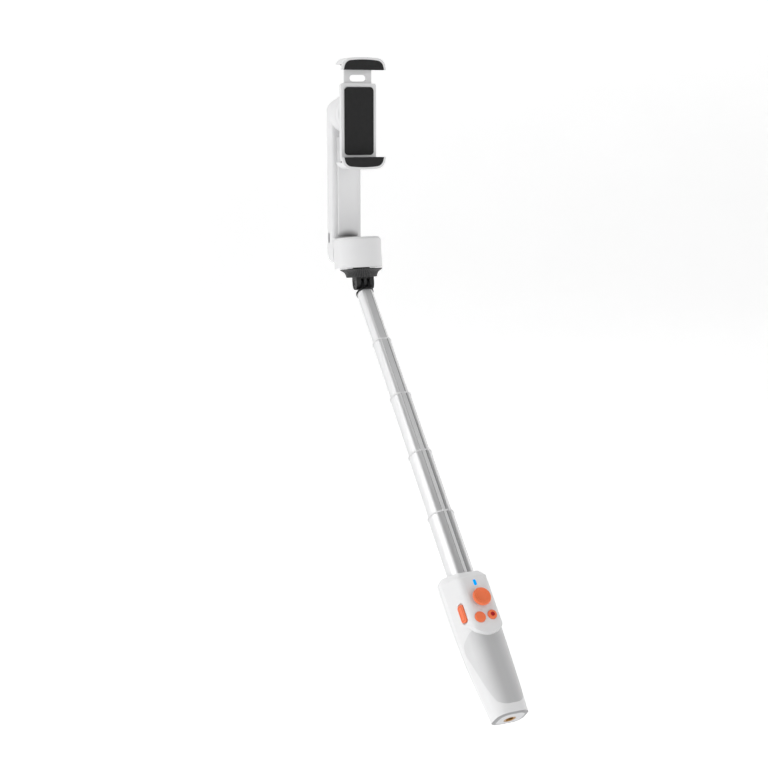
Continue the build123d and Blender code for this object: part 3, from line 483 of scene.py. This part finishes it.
# ---------------------------------------------------------------- a soft raised ring in the joystick's dish
CAP_RIM, DISH_DEPTH, DISH_RADIUS = 8.3, 0.8, 17.3  # the rim's height is above the joystick's pivot
RING_RADIUS, RING_HALF, RING_RISE, RING_ROOT = 4.1, 0.32, 0.14, 0.25
dish_at_ring = CAP_RIM - DISH_DEPTH + DISH_RADIUS - math.sqrt(DISH_RADIUS ** 2 - RING_RADIUS ** 2)
THUMB_SECTION = [  # height above the dish, distance from the ring's middle line
    (-RING_ROOT, -RING_HALF), (0.4 * RING_RISE, -0.6 * RING_HALF), (RING_RISE, 0),
    (0.6 * RING_RISE, 0.6 * RING_HALF), (-RING_ROOT, RING_HALF),
]
thumb_rings = [(dish_at_ring + rise, RING_RADIUS + aside) for rise, aside in THUMB_SECTION]
thumb_mesh = lathe("thumb_ring", STICK, thumb_rings, sides=120)
new_piece("thumb_ring", thumb_mesh, orange, "joystick")

# ---------------------------------------------------------------- a fine raised line on the zoom slider
SLIDER_LENGTH, SLIDER_WIDTH, SLIDER_CORNER, SLIDER_TOP, LINE_INSET = 12.8, 6.0, 2.3, 0.9, 1.25
FACET_LEAN = math.radians(15.7)  # of the handle's side, where the slider sits
SLIDER_SEAT = (-13.21, -9.48, 75.85)  # the middle of the slider on the handle's side, along the rod's axes
LINE_SECTION = [  # offset outwards, height above the slider's top
    (-0.34, -0.15), (-0.26, 0.05), (0, 0.09), (0.26, 0.05), (0.34, -0.15),
]

outward = (ROD.to_3x3() @ Vector((-math.cos(FACET_LEAN), -math.sin(FACET_LEAN), 0))).normalized()
along = ROD.to_3x3() @ Vector((0, 0, 1))
SLIDER = Matrix((along, outward.cross(along), outward)).transposed().to_4x4()
SLIDER.translation = at(ROD, *SLIDER_SEAT)
line_outline = rounded_outline(
    SLIDER_LENGTH - 2 * LINE_INSET, SLIDER_WIDTH - 2 * LINE_INSET, SLIDER_CORNER - LINE_INSET)
line_section = [(offset, SLIDER_TOP + rise) for offset, rise in LINE_SECTION]
line_mesh = banded("slider_line", SLIDER, line_outline, line_section)
new_piece("slider_line", line_mesh, orange_deep, "zoom_key")

# ---------------------------------------------------------------- studio
FLOOR_DROP = 0.30
WALL_BEHIND, FAR_WALL, WALL_ASIDE = 2.6, -20.0, 20.0  # where the floor ends, in metres
SWEEP_RADIUS, SWEEP_STEPS, WALL_HEIGHT = 1.6, 12, 6.5
PAPER_TONES = (0.90, 0.90, 0.90), (0.92, 0.92, 0.92)
PAPER_GLOW = 0.42  # a lightbox floor: lit from behind as well
WORLD_GLOW = 0.27
LIGHTS = {  # where each soft light hangs, its width and height, and its power
    "key_left": ((-2.4, 0.1, 1.3), (1.4, 2.2), 16),
    "back_left": ((-1.9, 1.7, 0.5), (1.8, 1.5), 2.4),
    "rim_right": ((2.4, 0.9, 0.9), (0.8, 2.0), 1.2),
    "top": ((-0.3, 0.5, 2.4), (1.6, 1.6), 9.7),
    "top_front": ((0.8, -0.85, 2.3), (1.0, 1.0), 3.0),
    "fill_front": ((1.0, -2.2, 0.9), (2.0, 2.0), 9.7),
}
low, high = (Vector(corner) for corner in cad_box)
middle = (low + high) / 2


def area_light(name, where, size, power):
    """A rectangular soft light turned towards the middle of the object."""
    data = bpy.data.lights.new(name, "AREA")
    data.shape = "RECTANGLE"
    data.size, data.size_y = size
    data.energy = power
    light = bpy.data.objects.new(name, data)
    light.location = where
    light.rotation_euler = (middle - Vector(where)).to_track_quat("-Z", "Y").to_euler()
    bpy.context.scene.collection.objects.link(light)


def studio_paper():
    """Matt white paper, faintly uneven, that is lit from behind as well."""
    paper, tree, shader = new_material("studio_paper")
    tone = ramp(tree, noise(tree, coordinates(tree), 0.002, 3.0), 0, 1)
    tree.links.new(colour_mix(tree, tone, *PAPER_TONES), shader.inputs["Base Color"])
    shader.inputs["Roughness"].default_value = 0.9
    shader.inputs["Emission Color"].default_value = (1, 1, 1, 1)
    shader.inputs["Emission Strength"].default_value = PAPER_GLOW
    return paper


def studio():
    """A pale room: a floor that curves up into a wall behind the object, and far walls all round."""
    bend = [math.radians(90 * step / SWEEP_STEPS) for step in range(SWEEP_STEPS + 1)]
    sweep_arc = [(SWEEP_RADIUS * math.sin(a), SWEEP_RADIUS * (1 - math.cos(a))) for a in bend]
    front, back = FAR_WALL - SWEEP_RADIUS, WALL_BEHIND + SWEEP_RADIUS
    profile = [(front, WALL_HEIGHT)] + [(FAR_WALL - y, z) for y, z in reversed(sweep_arc)]
    profile += [(WALL_BEHIND + y, z) for y, z in sweep_arc] + [(back, WALL_HEIGHT)]
    floor = low.z - FLOOR_DROP
    vertices = [(side * WALL_ASIDE, y, z + floor) for y, z in profile for side in (-1, 1)]
    faces = [(2 * k, 2 * k + 1, 2 * k + 3, 2 * k + 2) for k in range(len(profile) - 1)]
    for side in (-1, 1):
        first = len(vertices)
        vertices += [(side * WALL_ASIDE, y, z) for y in (front, back) for z in (floor, floor + WALL_HEIGHT)]
        faces.append((first, first + 1, first + 3, first + 2))
    mesh = bpy.data.meshes.new("studio_sweep")
    mesh.from_pydata(vertices, [], faces)
    mesh.shade_smooth()
    mesh.materials.append(studio_paper())
    sweep = bpy.data.objects.new("studio_sweep", mesh)
    bpy.context.scene.collection.objects.link(sweep)


studio()
for name, (where, size, power) in LIGHTS.items():
    area_light(name, where, size, power)

world = bpy.data.worlds.new("studio_world")
bpy.context.scene.world = world
world.use_nodes = True
world.node_tree.nodes["Background"].inputs["Color"].default_value = (1, 1, 1, 1)
world.node_tree.nodes["Background"].inputs["Strength"].default_value = WORLD_GLOW
bpy.context.scene.view_settings.view_transform = "Standard"

# ---------------------------------------------------------------- camera
CAMERA_FROM_PIN = Vector((-0.3960, -0.98243, 0.12896))
CAMERA_TURN, CAMERA_DROP = math.radians(-22.87), math.radians(11.36)
FOCAL_LENGTH, SENSOR_WIDTH = 60.94, 36

camera_data = bpy.data.cameras.new("camera")
camera_data.lens = FOCAL_LENGTH
camera_data.sensor_width = SENSOR_WIDTH
camera = bpy.data.objects.new("camera", camera_data)
camera.location = PIN + CAMERA_FROM_PIN
camera.rotation_euler = (math.radians(90) - CAMERA_DROP, 0, CAMERA_TURN)
bpy.context.scene.collection.objects.link(camera)
bpy.context.scene.camera = camera
